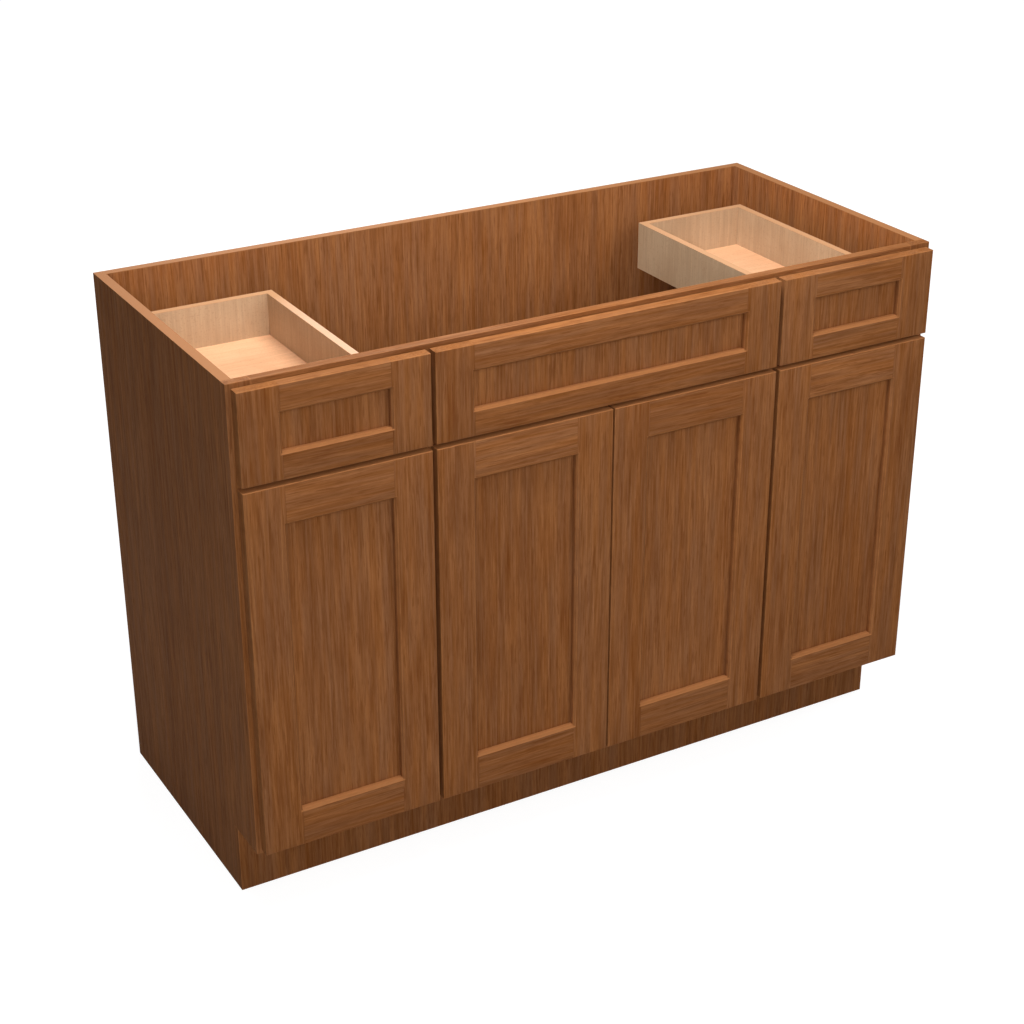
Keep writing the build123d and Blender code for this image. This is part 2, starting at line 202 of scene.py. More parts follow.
def new_group(name, tree_kind, inputs, results):
    """A node group with named sockets: its tree, its inputs and its output node."""
    tree = bpy.data.node_groups.new(name, tree_kind)
    for in_out, sockets in (("INPUT", inputs), ("OUTPUT", results)):
        for label, kind in sockets.items():
            kind = "NodeSocket" + kind.title()
            tree.interface.new_socket(label, in_out=in_out, socket_type=kind)
    return tree, Given(tree), tree.nodes.new("NodeGroupOutput")


def emptied(owner):
    """The node tree of a world or material, with nothing in it yet."""
    owner.use_nodes = True
    owner.node_tree.nodes.clear()
    return owner.node_tree


print("node helpers ready")

# %% [markdown]
# ## Light
# A product picture of a cabinet needs two kinds of light. One soft box hangs above, so that the
# top edges shine. A wide one stands near the camera and a little behind it: light from there
# reaches whatever the camera sees, so the gaps and corners stay readable. Weak ones soften
# what is left dark: the toe space, the open top, both sides and the back. A faint white room
# fills the rest.

# %% Lamps and room
lamp_target = (0.0, 0.0, 0.55)
soft_boxes = {
    "key": ((-0.50, -0.60, 2.60), 0.8, 24.0),
    "camera_side": ((-2.30, -4.20, 2.60), 1.4, 64.0),
    "front_fill": ((0.65, -1.55, 1.80), 0.8, 12.0),
    "low_fill": ((-0.90, -3.20, 0.40), 0.9, 12.0),
    "top_fill": ((-0.05, -0.08, 1.95), 0.6, 14.0),
    "left_fill": ((-3.00, -0.60, 1.35), 0.8, 3.5),
    "right_fill": ((3.10, 0.20, 1.50), 1.0, 16.0),
    "back_fill": ((0.90, 3.20, 1.80), 1.2, 34.0),
}
room_light = 0.10
mirror_share = 0.30


def make_lamp(name, place, size, power):
    """A square soft box that looks at the middle of the cabinet."""
    light = bpy.data.lights.new(name, "AREA")
    light.shape, light.size, light.energy = "SQUARE", size, power
    lamp = in_scene(name, light)
    lamp.location = place
    aim = Vector(lamp_target) - Vector(place)
    lamp.rotation_euler = aim.to_track_quat("-Z", "Y").to_euler()
    lamp.visible_camera = False


def seen_directly(tree):
    """1 for rays that show the room itself, straight or through glass, and less in a mirror."""
    rays = add(tree, "ShaderNodeLightPath").outputs
    names = ("Is Camera Ray", "Is Transmission Ray", "Is Glossy Ray")
    camera, through, glossy = (Value(tree, rays[name]) for name in names)
    return most(camera, through, glossy * mirror_share)


def make_room():
    """A white world that lights softly and shows as white."""
    world = bpy.data.worlds.new("white_room")
    tree = emptied(world)
    strength = remap(seen_directly(tree), 0.0, 1.0, room_light, 1.0)
    white = {"Color": (1.0, 1.0, 1.0, 1.0), "Strength": strength}
    glow = out(tree, "ShaderNodeBackground", white)
    add(tree, "ShaderNodeOutputWorld", {"Surface": glow})
    bpy.context.scene.world = world


for name, (place, size, power) in soft_boxes.items():
    make_lamp(name, place, size, power)
make_room()
print(len(soft_boxes), "soft boxes, room", room_light)

# %% [markdown]
# The floor is a plain pale disc. A pure white floor would throw so much light back that the
# lower half of the fronts turned pale, so the floor shows itself as white but gives back only
# part of the light that falls on it. It glows a little more far away, where the lamps don't
# reach, so that no horizon shows. The soft shadow near the cabinet stays.

# %% Floor
floor_radius = 16.0
floor_corners = 96
floor_shown = (0.90, 0.90, 0.89, 1.0)
floor_bounced = (0.55, 0.55, 0.54, 1.0)
floor_glow = (0.90, 0.985)
glow_rise = (0.9, 3.0)
floor_diffuse_share = 0.30


def floor_finish():
    """Matte and pale, with a glow that only shows to the eye."""
    material = bpy.data.materials.new("pale_floor")
    tree = emptied(material)
    shown = seen_directly(tree)
    tint = mix(shown, floor_bounced, floor_shown)
    matte = out(tree, "ShaderNodeBsdfDiffuse", {"Color": tint})
    place = out(tree, "ShaderNodeTexCoord", output="Object")
    away = out(tree, "ShaderNodeVectorMath", {0: place}, "Value", operation="LENGTH")
    glow_strength = shown * remap(away, *glow_rise, *floor_glow)
    glow = out(tree, "ShaderNodeEmission", {"Strength": glow_strength})
    soft = shown * (1.0 - floor_diffuse_share)
    black = out(tree, "ShaderNodeBsdfDiffuse", {"Color": (0.0, 0.0, 0.0, 1.0)})
    dimmed = out(tree, "ShaderNodeMixShader", {0: soft, 1: matte, 2: black})
    surface = out(tree, "ShaderNodeAddShader", {0: dimmed, 1: glow})
    add(tree, "ShaderNodeOutputMaterial", {"Surface": surface})
    return material


def make_floor():
    """A pale disc under the cabinet."""
    mesh = bpy.data.meshes.new("studio_floor")
    shape = bmesh.new()
    bmesh.ops.create_circle(shape, cap_ends=True, radius=floor_radius, segments=floor_corners)
    shape.to_mesh(mesh)
    shape.free()
    mesh.materials.append(floor_finish())
    floor = in_scene("studio_floor", mesh)


make_floor()
print("floor radius", floor_radius, "m")

# %% [markdown]
# ## The stained wood
# The boards are a hardwood with long, fine pores under a brown stain. Close up there are
# several layers: broad bands and narrower ribbons that are lighter or darker, patches whose
# hue is warmer or greyer, streaks that run the length of a hand, and short dark dashes and
# pores that hold the stain. One noise can't be all of them, so the group stretches several
# along the grain, each at its own scale. Every board shifts the pattern by its own number, so
# that no two match.

# %% Grain group
board_shift = (3.71, 5.13, 7.37)
wander_scale = 0.8
wander_reach = 0.006
band_across, band_along = 15.0, 0.8
ribbon_across, ribbon_along = 115.0, 9.0
ribbon_share = 0.55
patch_across, patch_along = 60.0, 4.0
streak_across, streak_along = 290.0, 9.0
dash_across, dash_along = 330.0, 18.0
dash_start, dash_end = 0.57, 0.66
pore_across, pore_along = 1250.0, 60.0
pore_start, pore_end = 0.55, 0.68
streak_height, dash_height = 0.6, 0.5


def noise(vector, scale, detail=2.0, roughness=0.5, output=0):
    """Plain noise, the same size each way."""
    settings = {"Vector": vector, "Scale": scale, "Detail": detail, "Roughness": roughness}
    return out(vector.tree, "ShaderNodeTexNoise", settings, output)


def stretched_noise(vector, across, along, detail, roughness=0.6):
    """Noise whose grains are long along Z and narrow across it."""
    scaled = vector_calc("MULTIPLY", vector, (across, across, along))
    return noise(scaled, 1.0, detail, roughness)


def above(value, start, end):
    """0 up to a start, 1 from an end, and a soft step between."""
    return remap(value, start, end, interpolation_type="SMOOTHSTEP")


def make_grain_group():
    """Bands, hue patches, streaks, dashes, pores and a height for grain along Z."""
    inputs = {"Vector": "vector", "Board": "float"}
    names = ("Bands", "Patches", "Streaks", "Dashes", "Pores", "Height")
    results = dict.fromkeys(names, "float")
    tree, given, made = new_group("long_grain", "ShaderNodeTree", inputs, results)
    shift = {0: board_shift, "Scale": given["Board"]}
    shift = out(tree, "ShaderNodeVectorMath", shift, operation="SCALE")
    place = vector_calc("ADD", given["Vector"], shift)
    sway = noise(place, wander_scale, 1.0, output=1)
    centred = vector_calc("SUBTRACT", sway, (0.5, 0.5, 0.5))
    reach = (wander_reach * 2, wander_reach * 2, 0.0)
    place = vector_calc("ADD", place, vector_calc("MULTIPLY", centred, reach))
    broad = stretched_noise(place, band_across, band_along, 1.0)
    ribbon = stretched_noise(place, ribbon_across, ribbon_along, 1.0)
    bands = broad * (1.0 - ribbon_share) + ribbon * ribbon_share
    patches = stretched_noise(place, patch_across, patch_along, 2.0)
    streaks = stretched_noise(place, streak_across, streak_along, 3.0, 0.7)
    dashes = stretched_noise(place, dash_across, dash_along, 2.0)
    dashes = above(dashes, dash_start, dash_end)
    pores = above(stretched_noise(place, pore_across, pore_along, 1.0), pore_start, pore_end)
    height = streaks * streak_height - (pores + dashes * dash_height)
    fill(made, dict(zip(names, (bands, patches, streaks, dashes, pores, height))))
    return tree


grain_group = make_grain_group()
print("streaks", round(1000 / streak_across, 1), "mm apart,", round(1000 / streak_along), "mm long")

# %% [markdown]
# A stain rubs thin along the arrises. Corners are darker, partly a glaze that gathers there and
# partly painted shade. Where a board is a plain block, a point lies near an arris when two of
# its three distances to the block's faces are small. So the next group needs only the block's
# lowest and highest corners. Fronts with a moulded edge can't use that rule, and they carry the
# same mask as a painted attribute instead. A second group breaks either mask up, as hands and
# handling do.

# %% Arris and wear groups
arris_width = 0.0016
wear_scale = 55.0
wear_range = (0.35, 0.65)
least_wear = 0.35


def make_arris_group():
    """1 along the edges of a block between two corners."""
    inputs = {"Vector": "vector", "Low": "vector", "High": "vector"}
    tree, given, made = new_group("block_arris", "ShaderNodeTree", inputs, {"Mask": "float"})
    from_low = vector_calc("SUBTRACT", given["Vector"], given["Low"])
    from_high = vector_calc("SUBTRACT", given["High"], given["Vector"])
    x, y, z = split(vector_calc("MINIMUM", from_low, from_high))
    middle = x + y + z - least(x, y, z) - most(x, y, z)
    fill(made, {"Mask": remap(middle, 0.0, arris_width, 1.0, 0.0)})
    return tree


def make_wear_group():
    """An arris mask made uneven, as hands and handling leave it."""
    inputs = {"Vector": "vector", "Arris": "float", "Amount": "float"}
    tree, given, made = new_group("rubbed_edge", "ShaderNodeTree", inputs, {"Wear": "float"})
    broken = remap(noise(given["Vector"], wear_scale, 3.0), *wear_range, least_wear, 1.0)
    fill(made, {"Wear": given["Arris"] * broken * given["Amount"]})
    return tree


arris_group = make_arris_group()
wear_group = make_wear_group()
print("arris mask", arris_width * 1000, "mm wide")

# %% [markdown]
# ## Finishes
# The stained boards are one recipe with a few choices: which way the grain runs, how the
# boards of a node are told apart, and where the arrises are. A warm brown and a greyer one
# take turns in soft patches. Bands and streaks make them lighter and darker, and more so in
# blue than in red, because a thicker stain looks redder. Dashes and pores are darker still.
# The satin lacquer on top is thin, so its mirror-like part is kept low.

# %% Stained wood
warm_brown = (0.257, 0.0955, 0.0294, 1.0)
grey_brown = (0.220, 0.0885, 0.0345, 1.0)
dash_brown = (0.150, 0.046, 0.0125, 1.0)
pore_brown = (0.108, 0.030, 0.0075, 1.0)
stain_tint = (0.72, 1.0, 1.4)
rubbed_brown = (0.390, 0.160, 0.056, 1.0)
# Painted highlight colour for level faces that lie in shade in the gaps.
painted_ledge_light_brown = (0.460, 0.187, 0.067, 1.0)
# Darker colour for corners and joints: partly glaze, partly painted shade.
glaze_and_shade_brown = (0.120, 0.043, 0.016, 1.0)
raw_edge = (0.330, 0.144, 0.058, 1.0)
patch_range = (0.35, 0.65)
streak_range, streak_share = (0.30, 0.70), 0.30
band_range, band_share = (0.32, 0.68), 0.18
dash_share = 0.54
pore_share = 0.26
board_spread = 0.04
stain_wear = 0.75
lacquer_roughness = 0.50
pore_roughness = 0.16
lacquer_mirror = 0.01
# Painted light for the inner faces of the carcass, which lie in shade.
painted_inner_light = 0.24
grain_bump = 0.22
grain_depth = 0.00025
top_skin = 0.0003


def grouped(group, inputs):
    """The outputs of a shader group placed in a material."""
    return outputs(tree_of(inputs.values()), "ShaderNodeGroup", inputs, node_tree=group)


def new_material(name):
    """An empty material, its node tree, and the Object coordinates in it."""
    material = bpy.data.materials.new(name)
    tree = emptied(material)
    return material, tree, out(tree, "ShaderNodeTexCoord", output="Object")


def finish_material(tree, inputs, height, strength, distance):
    """The shader itself, with a bump from a height."""
    bump = {"Height": height, "Strength": strength, "Distance": distance}
    inputs["Normal"] = out(tree, "ShaderNodeBump", bump)
    surface = out(tree, "ShaderNodeBsdfPrincipled", inputs)
    add(tree, "ShaderNodeOutputMaterial", {"Surface": surface})


def turned(vector, axis):
    """Coordinates whose Z runs along the board's own length."""
    x, y, z = split(vector)
    return vector_of(*{"x": (y, z, x), "y": (x, z, y), "z": (x, y, z)}[axis])


def stained_shader(place, along, board, arris, glaze_and_shade=0.0, raw=0.0, lift=1.0, painted_ledge_light=0.0):
    """Stain, grain, wear and lacquer on coordinates along the grain, plus painted light and shade.
    """
    tree = place.tree
    grain = grouped(grain_group, {"Vector": along, "Board": board})
    bands, patches, streaks, dashes, pores, height = grain
    brown = mix(remap(patches, *patch_range), warm_brown, grey_brown)
    tone = out(tree, "ShaderNodeTexWhiteNoise", {"W": board}, noise_dimensions="1D")
    level = remap(tone, 0.0, 1.0, 1.0 - board_spread, 1.0 + board_spread)
    swing = remap(streaks, *streak_range, -streak_share, streak_share)
    swing = swing + remap(bands, *band_range, -band_share, band_share)
    light = vector_calc("MULTIPLY_ADD", swing, stain_tint, (1.0, 1.0, 1.0))
    light = vector_calc("MULTIPLY", light, level * lift)
    colour = mix(1.0, brown, light, "MULTIPLY")
    colour = mix(dashes * dash_share, colour, dash_brown)
    colour = mix(pores * pore_share, colour, pore_brown)
    worn = grouped(wear_group, {"Vector": place, "Arris": arris, "Amount": stain_wear})[0]
    # Layers: real wear, a painted highlight on shaded ledges, a bare top, and a darker corner
    # colour that is partly glaze and partly painted shade.
    layers = ((worn, rubbed_brown), (painted_ledge_light, painted_ledge_light_brown), (raw, raw_edge), (glaze_and_shade, glaze_and_shade_brown))
    for share, brown in layers:
        colour = mix(share, colour, brown)
    dull = calc("MULTIPLY_ADD", pores, pore_roughness, lacquer_roughness)
    inputs = {"Base Color": colour, "Roughness": dull, "Specular IOR Level": lacquer_mirror}
    finish_material(tree, inputs, height, grain_bump, grain_depth)


def block_arris(place, low, high):
    """The arris mask of a plain block."""
    return grouped(arris_group, {"Vector": place, "Low": low, "High": high})[0]


def box_ends(node):
    """A node's lowest and highest corners as plain tuples."""
    low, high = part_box(node)
    return tuple(low), tuple(high)


def stained_board(node, axis, seed, inner=None):
    """The finish for one block; inner is the axis and way of its inner face, if its top is bare."""
    material, tree, place = new_material("stained_" + node)
    low, high = box_ends(node)
    arris = block_arris(place, low, high)
    raw, lift = 0.0, 1.0
    if inner:
        raw = split(place)[2] > high[2] - top_skin
        arris = arris * (1.0 - raw)
        index, way = inner
        off_middle = split(place)[index] - (low[index] + high[index]) / 2
        inside = off_middle * way > 0.0
        # Painted light: the inner face is made lighter, against the shade inside the cabinet.
        lift = calc("MULTIPLY_ADD", inside, painted_inner_light, 1.0)
    stained_shader(place, turned(place, axis), float(seed), arris, raw=raw, lift=lift)
    return material


print("stained wood recipe ready")

# %% [markdown]
# The drawer boxes are pale maple with a clear coat. Maple has hardly any pores, so the same
# grain group is used with its streaks turned far down. Soft blotches and small darker flecks
# take their place. A box is one node with four boards, so its walls are told apart by place:
# a point belongs to a side when it is near the box's left or right face. The sawn rims took
# the coat deeper and are a little warmer than the walls.

# %% Maple and plain boards
maple_wall = (0.515, 0.358, 0.222, 1.0)
maple_wall_dark = (0.436, 0.288, 0.170, 1.0)
maple_rim = (0.520, 0.275, 0.135, 1.0)
maple_floor = (0.750, 0.428, 0.240, 1.0)
maple_floor_dark = (0.660, 0.342, 0.182, 1.0)
fleck_brown = (0.300, 0.165, 0.080, 1.0)
softwood = (0.520, 0.360, 0.200, 1.0)
softwood_dark = (0.400, 0.245, 0.115, 1.0)
drawer_wall = 0.0127
blotch_scale = 9.0
blotch_range = (0.38, 0.62)
maple_pore_share = 0.16
fleck_scale = 330.0
fleck_start, fleck_end = 0.60, 0.68
fleck_share = 0.22
maple_wear = 0.35
coat_mirror = 0.3
coat_roughness, coat_cloud = 0.42, 0.15
coat_bump, coat_depth = 0.12, 0.0001


def pale_board(node, axis, seed, light, dark, walls=0.0, streak=0.10):
    """A clear-coated pale finish; walls is a box's wall where sides and ends differ."""
    material, tree, place = new_material("pale_" + node)
    low, high = box_ends(node)
    board = float(seed)
    if walls:
        x, middle = split(place)[0], (low[0] + high[0]) / 2
        is_side = abs(x - middle) > (high[0] - low[0]) / 2 - walls
        board = calc("MULTIPLY_ADD", is_side, 2.0, board) + (x > middle)
    grain = grouped(grain_group, {"Vector": turned(place, axis), "Board": board})
    bands, _, streaks, _, pores, height = grain
    blotches = noise(place, blotch_scale, 4.0, 0.62)
    colour = mix(remap(bands * 0.5 + blotches * 0.5, *blotch_range), light, dark)
    colour = mix(1.0, colour, remap(streaks, *streak_range, 1.0 - streak, 1.0 + streak), "MULTIPLY")
    colour = mix(pores * maple_pore_share, colour, dark)
    flecks = above(noise(place, fleck_scale, 1.0), fleck_start, fleck_end)
    colour = mix(flecks * fleck_share, colour, fleck_brown)
    wear = {"Vector": place, "Arris": block_arris(place, low, high), "Amount": maple_wear}
    colour = mix(grouped(wear_group, wear)[0], colour, maple_floor)
    if walls:
        colour = mix(split(place)[2] > high[2] - top_skin, colour, maple_rim)
    inputs = {"Base Color": colour, "Specular IOR Level": coat_mirror}
    inputs["Roughness"] = calc("MULTIPLY_ADD", blotches, coat_cloud, coat_roughness)
    finish_material(tree, inputs, height, coat_bump, coat_depth)
    return material


print("pale board recipe ready")

# %% [markdown]
# The hardware is steel and nylon. Plated steel isn't one flat grey: rolling and plating leave
# faint stretched marks that scatter the light a little more one way. Nylon is milky and dull,
# with a fine moulded skin. Small parts only need these two recipes and their own colours.

# %% Metal and plastic
steel_cloud, nylon_cloud, nylon_skin = 120.0, 60.0, 1400.0
steel_shade, nylon_shade = 0.72, 0.88
steel_spread, nylon_spread = 0.22, 0.12
steel_bump, nylon_bump = (0.1, 0.00005), (0.15, 0.00004)


def darkened(colour, share):
    """A colour times a share."""
    return tuple(share * part for part in colour[:3]) + (1.0,)


def plated_steel(name, colour, roughness, across=900.0, along=60.0):
    """Plated steel with faint rolling marks along Z."""
    material, tree, place = new_material(name)
    marks = stretched_noise(place, across, along, 2.0)
    tint = mix(noise(place, steel_cloud), colour, darkened(colour, steel_shade))
    inputs = {"Base Color": tint, "Metallic": 1.0}
    inputs["Roughness"] = calc("MULTIPLY_ADD", marks, steel_spread, roughness)
    finish_material(tree, inputs, marks, *steel_bump)
    return material


def moulded_plastic(name, colour, roughness):
    """Dull moulded plastic with a fine skin."""
    material, tree, place = new_material(name)
    cloud = noise(place, nylon_cloud)
    inputs = {"Base Color": mix(cloud, colour, darkened(colour, nylon_shade))}
    inputs["Roughness"] = calc("MULTIPLY_ADD", cloud, nylon_spread, roughness)
    finish_material(tree, inputs, noise(place, nylon_skin), *nylon_bump)
    return material


hinge_steel = plated_steel("hinge_steel", (0.66, 0.64, 0.60, 1.0), 0.20)
track_steel = plated_steel("track_steel", (0.58, 0.59, 0.62, 1.0), 0.28)
screw_steel = plated_steel("screw_steel", (0.55, 0.54, 0.50, 1.0), 0.30, 1500.0, 300.0)
nylon = moulded_plastic("moulded_nylon", (0.80, 0.79, 0.74, 1.0), 0.48)
soft_dot = moulded_plastic("bumper_soft", (0.74, 0.74, 0.72, 1.0), 0.25)
print("five hardware finishes")

# %% [markdown]
# ## The five-piece fronts
# Seven fronts follow one rule: two stiles at full height, two rails between them, a flat
# panel sunk behind a small bevel. They differ only in size, so one Geometry Nodes tree makes
# them all. It starts from a block with a fixed number of grid lines. A ladder of distances
# from the edge says where each line goes: three close together on the rounded outer edge, some
# on the bevel, some at the joint between stile and rail.

# %% Grid lines of a front
GRID_LINES = 24
DEPTH_LINES = 4
MILLIMETRE = 0.001
wall_lean = 0.05 * MILLIMETRE
joint_half = 0.35 * MILLIMETRE
joint_depth = 0.30 * MILLIMETRE
crease_width = 2.2 * MILLIMETRE
arris_support = 0.7 * MILLIMETRE
back_arris = 0.5 * MILLIMETRE
ease_steps = (0.15, 0.50)


def ladder(member, bevel, ease):
    """Distances of the grid lines from the outer edge, over one stile or rail."""
    bevel_start = member - bevel
    rungs = [0.0, *(ease * step for step in ease_steps), ease]
    rungs += [bevel_start - arris_support, bevel_start]
    rungs += [member - bevel * 0.5, member - joint_half, member, member + wall_lean]
    return rungs + [member + joint_half, member + crease_width]


def choose(index, values):
    """The value with that number in a list."""
    node = add(index.tree, "GeometryNodeIndexSwitch", data_type="FLOAT")
    while len(node.index_switch_items) < len(values):
        node.index_switch_items.new()
    fill(node, dict(enumerate((index, *values))))
    return Value(index.tree, node.outputs[0])


def grid_line(place, steps):
    """Which grid line a point of a unit block lies on."""
    return calc("ROUND", (place + 0.5) * (steps - 1))


def from_edge(place, steps, rungs):
    """A grid line's distance from its nearer edge, and which side it is on."""
    number = grid_line(place, steps)
    distance = choose(least(number, (steps - 1) - number), rungs)
    return distance, calc("SIGN", number - (steps - 1) / 2)


print(GRID_LINES, "grid lines each way")

# %% [markdown]
# Then one sum pushes each point of the face in, by how far it is from the outer edge and from
# the sight line, where the panel starts to show. The same sum gives the mitred corners of the
# bevel for nothing. The back has a small chamfer and a plain recess.

# %% Depths of a front
def fading(distance, width):
    """1 where a distance is nothing, down to 0 at a width."""
    return most(1.0 - abs(distance) / width, 0.0)


def past_sight(given, dx, dz):
    """How far a point lies outside the sight line: of the stiles, of the rails, of either."""
    past_stile, past_rail = given["Stile"] - dx, given["Rail"] - dz
    return past_stile, past_rail, most(past_stile, past_rail)


def front_depth(given, dx, dz):
    """How far the face lies behind its front plane, at distances from two edges."""
    past_stile, past_rail, sight = past_sight(given, dx, dz)
    on_panel = sight < -wall_lean / 2
    bevel = most(given["Bevel"] - sight, 0.0) * (1.0 - on_panel)
    groove = fading(past_stile, joint_half) * (past_rail > 0.0)
    ease = given["Ease"]
    reach = ease - least(dx, dz, ease)
    rounding = ease - calc("SQRT", ease * ease - reach * reach)
    depth = bevel + on_panel * given["Recess"] + groove * joint_depth + rounding
    return depth, on_panel


def back_depth(given, dx, dz, on_panel):
    """How far the back lies in front of its rear plane."""
    return most(back_arris - least(dx, dz), 0.0) + on_panel * given["Back Recess"]


# %% [markdown]
# The tree measures a finished point again to paint its masks: the number of the board that a
# face belongs to, how much of an arris a point is, and how deep in a corner. The material
# reads them by name, so grain, wear and shade follow the real boards.

# %% Masks of a front
# Edge faces of a front are painted lighter: partly wear, partly painted light for the door tops in
# the shaded gaps.
edge_wear_and_light = 0.40
front_reach, bevel_reach, back_reach = 1.4, 1.2, 1.2
front_step = 10.0


def measured(tree, given):
    """Where a finished point is: two places, two distances from edges, depth behind the front."""
    place = out(tree, "GeometryNodeInputPosition")
    x, y, z = split(vector_calc("SUBTRACT", place, given["Centre"]))
    dx, dz = given["Width"] * 0.5 - abs(x), given["Height"] * 0.5 - abs(z)
    return x, z, dx, dz, y + given["Thickness"] * 0.5


def board_number(given, x, z, dx, dz):
    """1 and 2 for the stiles, 3 and 4 for the rails, 5 for the panel, plus the front's own."""
    stile, rail = (x > 0.0) + 1.0, (z > 0.0) + 3.0
    inner = calc("MULTIPLY_ADD", dz < given["Rail"], rail - 5.0, 5.0)
    number = calc("MULTIPLY_ADD", dx < given["Stile"], stile - inner, inner)
    return number + given["Number"] * front_step


def arris_mask(given, dx, dz, behind):
    """1 on the outer edges, front and back, and on both edges of the bevel."""
    rim, sight = least(dx, dz), past_sight(given, dx, dz)[2]
    front = fading(rim, given["Ease"]) * (behind < given["Ease"] * front_reach)
    at_back = given["Thickness"] - behind < back_reach * back_arris
    back = fading(rim, 2 * back_arris) * at_back
    upper = fading(sight - given["Bevel"], arris_support)
    bevel = most(upper, fading(sight, arris_support)) * (behind < given["Bevel"] * bevel_reach)
    # The edge faces join the arris mask at a share: partly wear, partly painted light.
    return most(front, back, (rim < wall_lean) * edge_wear_and_light, bevel)


def corner_mask(given, dx, dz, behind):
    """1 at the foot of the wall round the panel and in the joints of the frame."""
    past_stile, past_rail, sight = past_sight(given, dx, dz)
    # This mask darkens the finish at the foot of the panel's wall and in the joints: partly glaze,
    # partly painted shade.
    foot = fading(sight, crease_width) * (behind > given["Recess"] - 2 * wall_lean)
    foot = foot * (behind < given["Recess"] + MILLIMETRE)
    joint = fading(past_stile, joint_half) * (past_rail > 0.0)
    return most(foot, joint * (behind < given["Bevel"] * bevel_reach))


print("masks: board, arris, corner")

# %% [markdown]
# Now the tree itself. Each point of the block learns its two distances, and from them its
# place. A door also gets the round bores for its hinge cups, cut with a boolean as a maker's
# drill would. The tree ends as every tree here does: instances are made real, flat bends are
# shaded smoothly, and the finish goes on.

# %% Front tree
front_angle = radians(28)
cup_corners = 48


def new_shape(name, sizes, others):
    """A tree for shapes; a geometry has to be the first input, where the modifier fills it in."""
    inputs = {**others, **dict.fromkeys(sizes, "float"), "Finish": "material"}
    return new_group(name, "GeometryNodeTree", inputs, {"Geometry": "geometry"})


def finish_shape(geometry, angle, given, made):
    """Ends a tree; faces shade smoothly over edges flatter than an angle."""
    tree, kind = geometry.tree, "GeometryNodeSetShadeSmooth"
    geometry = out(tree, "GeometryNodeRealizeInstances", {0: geometry})
    geometry = out(tree, kind, {"Geometry": geometry, "Shade Smooth": True})
    flat = out(tree, "GeometryNodeInputMeshEdgeAngle") < angle
    geometry = out(tree, kind, {"Geometry": geometry, "Shade Smooth": flat}, domain="EDGE")
    finish = {"Geometry": geometry, "Material": given["Finish"]}
    fill(made, {"Geometry": out(tree, "GeometryNodeSetMaterial", finish)})


def painted(geometry, name, domain, value):
    """A geometry with a named value on its faces or points."""
    inputs = {"Geometry": geometry, "Name": name, "Value": value}
    settings = {"data_type": "FLOAT", "domain": domain}
    return out(geometry.tree, "GeometryNodeStoreNamedAttribute", inputs, **settings)


def joined(*parts):
    """Several geometries as one."""
    node = add(parts[0].tree, "GeometryNodeJoinGeometry")
    for part in parts:
        fill(node, {0: part})
    return Value(parts[0].tree, node.outputs[0])


def placed(geometry, move=(0.0, 0.0, 0.0), turn=(0.0, 0.0, 0.0)):
    """A geometry moved and turned."""
    values = {"Geometry": geometry, "Translation": move, "Rotation": turn}
    return out(geometry.tree, "GeometryNodeTransform", values)


def cut(body, cutter):
    """A body less a cutter."""
    inputs = {0: body, 1: cutter}
    return out(body.tree, "GeometryNodeMeshBoolean", inputs, operation="DIFFERENCE")


def cup_bores(tree, given):
    """Two round cutters at the height of the hinges."""
    sizes = {"Vertices": cup_corners, "Radius": given["Cup Radius"]}
    sizes["Depth"] = given["Cup Depth"] * 2.0
    cutter = out(tree, "GeometryNodeMeshCylinder", sizes, "Mesh")
    cutters = []
    for way in (-0.5, 0.5):
        lift = vector_of(0.0, 0.0, given["Cup Spread"] * way)
        place = vector_calc("ADD", given["Cup Place"], lift)
        cutters.append(placed(cutter, place, (pi / 2, 0.0, 0.0)))
    return joined(*cutters)


def make_front_tree():
    """The rule that all seven fronts follow."""
    sizes = ("Width", "Height", "Thickness", "Stile", "Rail", "Bevel", "Recess", "Back Recess")
    sizes += ("Ease", "Number", "Cup Radius", "Cup Depth", "Cup Spread")
    others = {"Centre": "vector", "Cup Place": "vector", "Drilled": "bool"}
    tree, given, made = new_shape("five_piece_front", sizes, others)
    block = {"Size": (1.0, 1.0, 1.0), "Vertices X": GRID_LINES, "Vertices Z": GRID_LINES}
    block["Vertices Y"] = DEPTH_LINES
    block = out(tree, "GeometryNodeMeshCube", block, "Mesh")
    x, y, z = split(out(tree, "GeometryNodeInputPosition"))
    bevel, ease, thickness = given["Bevel"], given["Ease"], given["Thickness"]
    dx, side = from_edge(x, GRID_LINES, ladder(given["Stile"], bevel, ease))
    dz, end = from_edge(z, GRID_LINES, ladder(given["Rail"], bevel, ease))
    front, on_panel = front_depth(given, dx, dz)
    rear = thickness - back_depth(given, dx, dz, on_panel)
    layers = [front, ease * 2.0, thickness - 3 * back_arris, rear]
    behind = choose(grid_line(y, DEPTH_LINES), layers)
    new_x = side * (given["Width"] * 0.5 - dx)
    new_z = end * (given["Height"] * 0.5 - dz)
    place = vector_of(new_x, behind - thickness * 0.5, new_z)
    place = vector_calc("ADD", place, given["Centre"])
    plain = out(tree, "GeometryNodeSetPosition", {"Geometry": block, "Position": place})
    choice = {0: given["Drilled"], 1: plain, 2: cut(plain, cup_bores(tree, given))}
    result = out(tree, "GeometryNodeSwitch", choice, input_type="GEOMETRY")
    x, z, dx, dz, behind = measured(tree, given)
    result = painted(result, "board", "FACE", board_number(given, x, z, dx, dz))
    result = painted(result, "arris", "POINT", arris_mask(given, dx, dz, behind))
    result = painted(result, "corner", "POINT", corner_mask(given, dx, dz, behind))
    finish_shape(result, front_angle, given, made)
    return tree


front_tree = make_front_tree()
print("front tree of", len(front_tree.nodes), "nodes")

# %% [markdown]
# A node tree only makes something while it hangs on an object. The next helper hangs it on an
# empty mesh, or on one that holds points, fills in the named inputs, and takes the result off
# as a plain mesh. The modifier knows its inputs by hidden identifiers and not by name, so the
# names are looked up in the tree's interface first.

